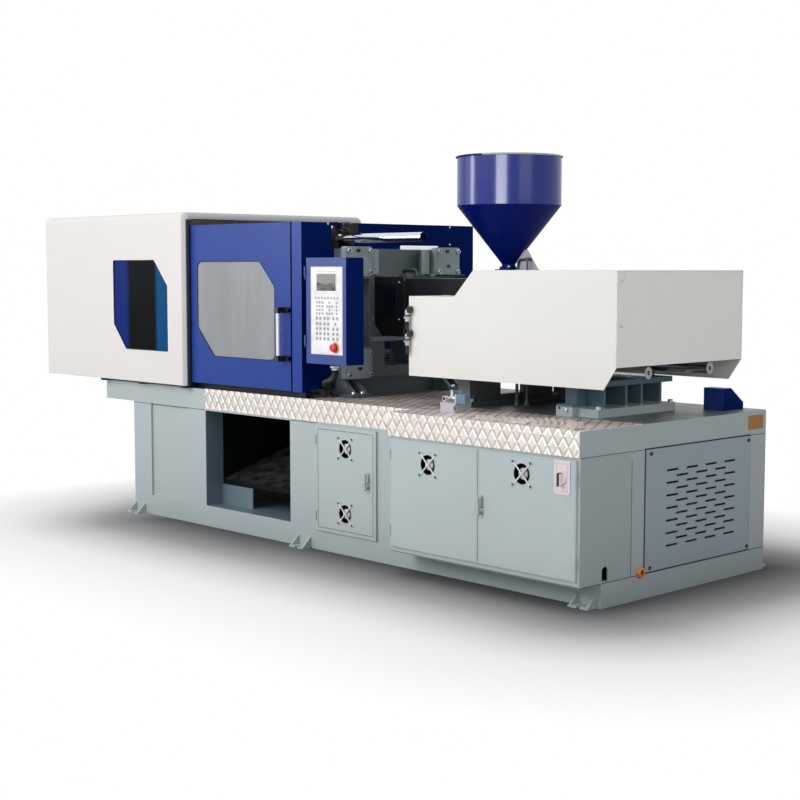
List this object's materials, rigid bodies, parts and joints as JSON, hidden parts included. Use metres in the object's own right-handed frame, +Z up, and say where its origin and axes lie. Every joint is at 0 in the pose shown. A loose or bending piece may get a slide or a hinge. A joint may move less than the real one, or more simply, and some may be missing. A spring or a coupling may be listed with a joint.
{
  "type": "injection moulding machine",
  "caption": "Horizontal toggle-clamp injection moulding machine with sliding gates, operator's control box, hopper-fed injection carriage and electrical cabinet in its bed.",
  "frame": {"origin": "on the floor, at the centre of the plinth's footprint", "axes": "+X along the machine towards the injection end, +Y across it to the rear, +Z up"},
  "size_m": [4.607, 1.534, 2.066],
  "materials": {
    "white_paint": "white powder coat",
    "grey_paint": "light grey powder coat",
    "blue_paint": "gloss blue enamel",
    "black_sheet": "black satin enamel",
    "dark_steel": "dark machine enamel",
    "tread": "mill-finish tread plate",
    "bright_bar": "ground and chromed",
    "steel": "machined",
    "zinc": "bright zinc plate",
    "pane": "clear safety pane",
    "black_plastic": "moulded",
    "white_plastic": "moulded",
    "red_plastic": "moulded",
    "gear_plastic": "moulded housings on a zinc plate",
    "hose": "corrugated polyamide",
    "heater": "heat-tinted bands"
  },
  "bodies": {
    "machine_base": {"bed_frame": "grey_paint", "electrical_cabinet": "grey_paint", "switchgear_plate": "gear_plastic", "tread_plate": "tread", "louvre_panel": "grey_paint", "drop_chute": "black_sheet", "terminal_box": "blue_paint", "fixed_platen": "grey_paint", "latch_bracket": "grey_paint", "tie_bars": "bright_bar", "gate_post": "blue_paint", "gate_rails": "dark_steel", "hood": "white_paint", "hood_window": "pane", "control_box": "blue_paint", "conduit": "hose", "injection_base": "grey_paint", "rear_support": "grey_paint", "guide_rods": "bright_bar"},
    "tail_platen": {"tail_platen": "blue_paint", "clamp_cylinder": "dark_steel"},
    "moving_platen": {"moving_platen": "grey_paint", "safety_bar": "bright_bar"},
    "crosshead": {"crosshead": "steel"},
    "ejector": {"ejector_plate": "steel"},
    "safety_latch": {"safety_latch": "steel"},
    "front_gate": {"front_gate": "blue_paint", "front_gate_window": "pane", "gate_handle": "white_plastic"},
    "rear_gate": {"rear_gate": "blue_paint"},
    "control_door": {"control_door": "blue_paint"},
    "emergency_stop": {"emergency_stop": "red_plastic"},
    "service_door": {"service_door": "grey_paint"},
    "cabinet_door_left": {"cabinet_door_left": "grey_paint"},
    "cabinet_door_right": {"cabinet_door_right": "grey_paint"},
    "service_lock": {"service_lock": "zinc"},
    "cabinet_lock": {"cabinet_lock": "zinc"},
    "main_switch": {"main_switch": "black_plastic"},
    "carriage": {"injection_housing": "grey_paint", "barrel": "steel", "heater_bands": "heater", "injection_cover": "white_paint", "cover_end_plate": "white_paint", "barrel_shield": "black_sheet", "hopper": "blue_paint", "hopper_base": "grey_paint"},
    "hopper_slide": {"hopper_slide": "steel"},
    "thrust_plate": {"thrust_plate": "dark_steel"},
    "screw": {"screw": "steel"},
    "purge_guard": {"purge_guard": "black_sheet"},
    "rear_links_upper": {"rear_links_upper": "dark_steel"},
    "front_links_upper": {"front_links_upper": "dark_steel"},
    "crosshead_links_upper": {"crosshead_links_upper": "dark_steel"},
    "rear_links_lower": {"rear_links_lower": "dark_steel"},
    "front_links_lower": {"front_links_lower": "dark_steel"},
    "crosshead_links_lower": {"crosshead_links_lower": "dark_steel"},
    "fan_rotor_1": {"fan_rotor_1": "black_plastic"},
    "fan_rotor_2": {"fan_rotor_2": "black_plastic"},
    "fan_rotor_3": {"fan_rotor_3": "black_plastic"},
    "fan_rotor_4": {"fan_rotor_4": "black_plastic"}
  },
  "joints": [
    {"name": "mould_height", "type": "slide", "parent": "machine_base", "child": "tail_platen", "axis": [1, 0, 0], "range_m": [0, 0.15]},
    {"name": "clamp_stroke", "type": "slide", "parent": "tail_platen", "child": "moving_platen", "axis": [1, 0, 0], "range_m": [-0.3462, 0]},
    {"name": "rear_links_upper", "type": "hinge", "parent": "tail_platen", "child": "rear_links_upper", "pos_m": [-1.98, 0, 1.605], "axis": [0, 1, 0], "range_deg": [0, 92.72]},
    {"name": "front_links_upper", "type": "hinge", "parent": "moving_platen", "child": "front_links_upper", "pos_m": [-1.02028, 0, 1.495], "axis": [0, -1, 0], "range_deg": [0, 21.16]},
    {"name": "rear_links_lower", "type": "hinge", "parent": "tail_platen", "child": "rear_links_lower", "pos_m": [-1.98, 0, 0.905], "axis": [0, -1, 0], "range_deg": [0, 92.72]},
    {"name": "front_links_lower", "type": "hinge", "parent": "moving_platen", "child": "front_links_lower", "pos_m": [-1.02028, 0, 1.015], "axis": [0, 1, 0], "range_deg": [0, 21.16]},
    {"name": "crosshead", "type": "slide", "parent": "tail_platen", "child": "crosshead", "axis": [1, 0, 0], "range_m": [-0.17773, 0]},
    {"name": "crosshead_links_upper", "type": "hinge", "parent": "crosshead", "child": "crosshead_links_upper", "pos_m": [-1.62842, 0, 1.315], "axis": [0, -1, 0], "range_deg": [0, 43.51]},
    {"name": "crosshead_links_lower", "type": "hinge", "parent": "crosshead", "child": "crosshead_links_lower", "pos_m": [-1.62842, 0, 1.195], "axis": [0, 1, 0], "range_deg": [0, 43.51]},
    {"name": "ejector", "type": "slide", "parent": "moving_platen", "child": "ejector", "axis": [1, 0, 0], "range_m": [0, 0.05]},
    {"name": "safety_latch", "type": "hinge", "parent": "machine_base", "child": "safety_latch", "pos_m": [-0.25, -0.34, 1.722], "axis": [0, -1, 0], "range_deg": [0, 35]},
    {"name": "front_gate", "type": "slide", "parent": "machine_base", "child": "front_gate", "axis": [1, 0, 0], "range_m": [-0.82, 0]},
    {"name": "rear_gate", "type": "slide", "parent": "machine_base", "child": "rear_gate", "axis": [1, 0, 0], "range_m": [-0.82, 0]},
    {"name": "control_door", "type": "hinge", "parent": "machine_base", "child": "control_door", "pos_m": [-0.138, -0.678, 1.27], "axis": [0, 0, -1], "range_deg": [0, 110]},
    {"name": "emergency_stop", "type": "slide", "parent": "control_door", "child": "emergency_stop", "axis": [0, 1, 0], "range_m": [0, 0.005], "stiffness_N_per_m": 400},
    {"name": "service_door", "type": "hinge", "parent": "machine_base", "child": "service_door", "pos_m": [-0.09, -0.655, 0.39], "axis": [0, 0, -1], "range_deg": [0, 110]},
    {"name": "cabinet_door_left", "type": "hinge", "parent": "machine_base", "child": "cabinet_door_left", "pos_m": [0.647, -0.805, 0.4], "axis": [0, 0, -1], "range_deg": [0, 110]},
    {"name": "cabinet_door_right", "type": "hinge", "parent": "machine_base", "child": "cabinet_door_right", "pos_m": [1.814, -0.805, 0.4], "axis": [0, 0, 1], "range_deg": [0, 110]},
    {"name": "service_lock", "type": "hinge", "parent": "service_door", "child": "service_lock", "pos_m": [0.32, -0.665, 0.385], "axis": [0, -1, 0], "range_deg": [0, 90]},
    {"name": "cabinet_lock", "type": "hinge", "parent": "cabinet_door_right", "child": "cabinet_lock", "pos_m": [1.254, -0.815, 0.39], "axis": [0, -1, 0], "range_deg": [0, 90]},
    {"name": "main_switch", "type": "hinge", "parent": "cabinet_door_right", "child": "main_switch", "pos_m": [1.739, -0.815, 0.585], "axis": [0, -1, 0], "range_deg": [0, 90]},
    {"name": "fan_rotor_1", "type": "hinge", "parent": "service_door", "child": "fan_rotor_1", "pos_m": [0.147, -0.629, 0.561], "axis": [0, 1, 0], "continuous": true},
    {"name": "fan_rotor_2", "type": "hinge", "parent": "service_door", "child": "fan_rotor_2", "pos_m": [0.145, -0.629, 0.219], "axis": [0, 1, 0], "continuous": true},
    {"name": "fan_rotor_3", "type": "hinge", "parent": "cabinet_door_left", "child": "fan_rotor_3", "pos_m": [0.909, -0.779, 0.566], "axis": [0, 1, 0], "continuous": true},
    {"name": "fan_rotor_4", "type": "hinge", "parent": "cabinet_door_right", "child": "fan_rotor_4", "pos_m": [1.505, -0.779, 0.584], "axis": [0, 1, 0], "continuous": true},
    {"name": "carriage", "type": "slide", "parent": "machine_base", "child": "carriage", "axis": [1, 0, 0], "range_m": [-0.25, 0]},
    {"name": "hopper_slide", "type": "slide", "parent": "carriage", "child": "hopper_slide", "axis": [-1, 0, 0], "range_m": [0, 0.07]},
    {"name": "injection", "type": "slide", "parent": "carriage", "child": "thrust_plate", "axis": [1, 0, 0], "range_m": [0, 0.15]},
    {"name": "screw", "type": "hinge", "parent": "thrust_plate", "child": "screw", "pos_m": [1.12, 0, 1.255], "axis": [1, 0, 0], "continuous": true},
    {"name": "purge_guard", "type": "hinge", "parent": "machine_base", "child": "purge_guard", "pos_m": [0, 0.232, 1.452], "axis": [-1, 0, 0], "range_deg": [0, 85]}
  ],
  "couplings": [
    {"joint": "rear_links_upper", "follows": "clamp_stroke", "rad_per_m": -4.6716},
    {"joint": "front_links_upper", "follows": "clamp_stroke", "rad_per_m": -1.0643},
    {"joint": "rear_links_lower", "follows": "clamp_stroke", "rad_per_m": -4.6716},
    {"joint": "front_links_lower", "follows": "clamp_stroke", "rad_per_m": -1.0643},
    {"joint": "crosshead", "follows": "clamp_stroke", "ratio": 0.51308},
    {"joint": "crosshead_links_upper", "follows": "clamp_stroke", "rad_per_m": -2.1911},
    {"joint": "crosshead_links_lower", "follows": "clamp_stroke", "rad_per_m": -2.1911}
  ]
}
